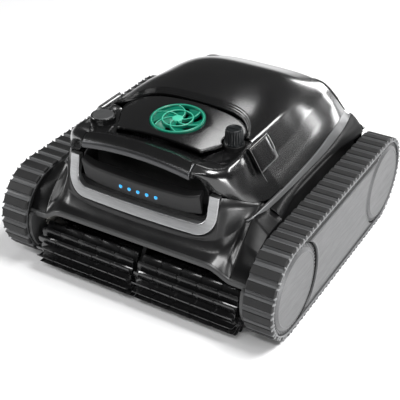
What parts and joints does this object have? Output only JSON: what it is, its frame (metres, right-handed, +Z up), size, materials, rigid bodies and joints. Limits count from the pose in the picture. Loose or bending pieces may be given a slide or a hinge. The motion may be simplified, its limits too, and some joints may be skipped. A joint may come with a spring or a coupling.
{
  "type": "robotic pool cleaner",
  "caption": "Cordless tracked robot that drives over a pool floor, brushes it with a split roller and filters water through a lidded basket.",
  "frame": {"origin": "on the floor below the middle of the body, midway between the front and rear axles", "axes": "+Z up; the brush and carrying bar face -Y; +X is the side with the charging port cap"},
  "size_m": [0.393, 0.4024, 0.2222],
  "materials": {
    "steel": "brushed steel",
    "battery_blue": "blue shrink-wrapped pack",
    "dark_plastic": "dark grey moulding",
    "gear_white": "off-white engineering plastic",
    "brush_rubber": "smooth black rubber",
    "knob_rubber": "blue-black ribbed rubber",
    "gloss_black": "glossy black moulding",
    "basket_grey": "mid-grey moulding",
    "satin_silver": "satin silver paint",
    "cover_grey": "satin grey moulding",
    "led_blue": "clear blue light guide",
    "grille_green": "green moulding",
    "track_rubber": "matt ribbed rubber"
  },
  "bodies": {
    "chassis": {"battery_pack": "battery_blue", "brush_centre_bearing": "dark_plastic", "button_collar": "dark_plastic", "charge_port_socket": "dark_plastic", "chassis_tub": "dark_plastic", "control_box": "dark_plastic", "deck_plate": "gloss_black", "drive_motor_left": "steel", "drive_motor_right": "steel", "front_fascia": "gloss_black", "front_shell": "gloss_black", "handle_bar": "satin_silver", "handle_bezel": "satin_silver", "handle_pocket": "dark_plastic", "led_light_guide": "led_blue", "led_panel": "dark_plastic", "lid_hinge_pin": "steel", "outlet_duct": "dark_plastic", "outlet_grille": "grille_green", "pump_motor": "steel", "rear_panel": "gloss_black", "side_cover_left": "cover_grey", "side_cover_right": "cover_grey", "side_plate_left": "dark_plastic", "side_plate_right": "dark_plastic", "side_trim_left": "satin_silver", "side_trim_right": "satin_silver", "track_belt_left": "track_rubber", "track_belt_right": "track_rubber"},
    "wheel_front_right": {"wheel_front_right": "dark_plastic", "hub_cap_front_right": "cover_grey", "axle_front_right": "steel", "drive_gear_right": "gear_white"},
    "wheel_rear_right": {"wheel_rear_right": "dark_plastic", "hub_cap_rear_right": "cover_grey", "axle_rear_right": "steel"},
    "brush_half_right": {"brush_right": "brush_rubber", "brush_core_right": "dark_plastic", "brush_gear_right": "gear_white"},
    "pinion_right": {"motor_pinion_right": "gear_white"},
    "wheel_front_left": {"wheel_front_left": "dark_plastic", "hub_cap_front_left": "cover_grey", "axle_front_left": "steel", "drive_gear_left": "gear_white"},
    "wheel_rear_left": {"wheel_rear_left": "dark_plastic", "hub_cap_rear_left": "cover_grey", "axle_rear_left": "steel"},
    "brush_half_left": {"brush_left": "brush_rubber", "brush_core_left": "dark_plastic", "brush_gear_left": "gear_white"},
    "pinion_left": {"motor_pinion_left": "gear_white"},
    "impeller": {"impeller": "dark_plastic"},
    "power_button": {"power_button": "cover_grey"},
    "charge_port_cap": {"charge_port_cap": "knob_rubber"},
    "lid": {"lid": "gloss_black"},
    "latch_right": {"latch_right": "gloss_black"},
    "latch_left": {"latch_left": "gloss_black"},
    "filter_basket": {"filter_basket": "basket_grey"},
    "intake_flap": {"intake_flap": "dark_plastic"}
  },
  "joints": [
    {"name": "front_wheel_spin_right", "type": "hinge", "parent": "chassis", "child": "wheel_front_right", "pos_m": [0.176, -0.1375, 0.06375], "axis": [1, 0, 0], "continuous": true},
    {"name": "rear_wheel_spin_right", "type": "hinge", "parent": "chassis", "child": "wheel_rear_right", "pos_m": [0.176, 0.1375, 0.06375], "axis": [1, 0, 0], "continuous": true},
    {"name": "brush_spin_right", "type": "hinge", "parent": "chassis", "child": "brush_half_right", "pos_m": [0.0735, -0.17, 0.032], "axis": [1, 0, 0], "continuous": true},
    {"name": "pinion_spin_right", "type": "hinge", "parent": "chassis", "child": "pinion_right", "pos_m": [0.1483, -0.09856, 0.06375], "axis": [1, 0, 0], "continuous": true},
    {"name": "front_wheel_spin_left", "type": "hinge", "parent": "chassis", "child": "wheel_front_left", "pos_m": [-0.176, -0.1375, 0.06375], "axis": [1, 0, 0], "continuous": true},
    {"name": "rear_wheel_spin_left", "type": "hinge", "parent": "chassis", "child": "wheel_rear_left", "pos_m": [-0.176, 0.1375, 0.06375], "axis": [1, 0, 0], "continuous": true},
    {"name": "brush_spin_left", "type": "hinge", "parent": "chassis", "child": "brush_half_left", "pos_m": [-0.0735, -0.17, 0.032], "axis": [1, 0, 0], "continuous": true},
    {"name": "pinion_spin_left", "type": "hinge", "parent": "chassis", "child": "pinion_left", "pos_m": [-0.1483, -0.09856, 0.06375], "axis": [1, 0, 0], "continuous": true},
    {"name": "impeller_spin", "type": "hinge", "parent": "chassis", "child": "impeller", "pos_m": [0, -0.0804, 0.154], "axis": [0, 0, 1], "continuous": true},
    {"name": "power_button_press", "type": "slide", "parent": "chassis", "child": "power_button", "axis": [0, 0, -1], "range_m": [0, 0.002], "stiffness_N_per_m": 600, "springref_m": -0.001},
    {"name": "charge_port_cap_turn", "type": "hinge", "parent": "chassis", "child": "charge_port_cap", "pos_m": [0.0813, -0.086, 0.2024], "axis": [0, 0, 1], "range_deg": [0, 90]},
    {"name": "lid_open", "type": "hinge", "parent": "chassis", "child": "lid", "pos_m": [0, 0.1565, 0.1795], "axis": [-1, 0, 0], "range_deg": [0, 75]},
    {"name": "latch_flip_right", "type": "hinge", "parent": "lid", "child": "latch_right", "pos_m": [0.105, -0.07325, 0.202], "axis": [0, -1, 0], "range_deg": [0, 60]},
    {"name": "latch_flip_left", "type": "hinge", "parent": "lid", "child": "latch_left", "pos_m": [-0.105, -0.07325, 0.202], "axis": [0, 1, 0], "range_deg": [0, 60]},
    {"name": "filter_basket_lift", "type": "slide", "parent": "chassis", "child": "filter_basket", "axis": [0, 0, 1], "range_m": [0, 0.06]},
    {"name": "intake_flap_swing", "type": "hinge", "parent": "chassis", "child": "intake_flap", "pos_m": [0, 0.03, 0.0178], "axis": [-1, 0, 0], "range_deg": [0, 60]}
  ],
  "couplings": [
    {"joint": "rear_wheel_spin_right", "follows": "front_wheel_spin_right", "ratio": 1},
    {"joint": "brush_spin_right", "follows": "front_wheel_spin_right", "ratio": -1.8},
    {"joint": "pinion_spin_right", "follows": "front_wheel_spin_right", "ratio": -3},
    {"joint": "rear_wheel_spin_left", "follows": "front_wheel_spin_left", "ratio": 1},
    {"joint": "brush_spin_left", "follows": "front_wheel_spin_left", "ratio": -1.8},
    {"joint": "pinion_spin_left", "follows": "front_wheel_spin_left", "ratio": -3},
    {"joint": "filter_basket_lift", "follows": "lid_open", "m_per_rad": 0.045}
  ]
}
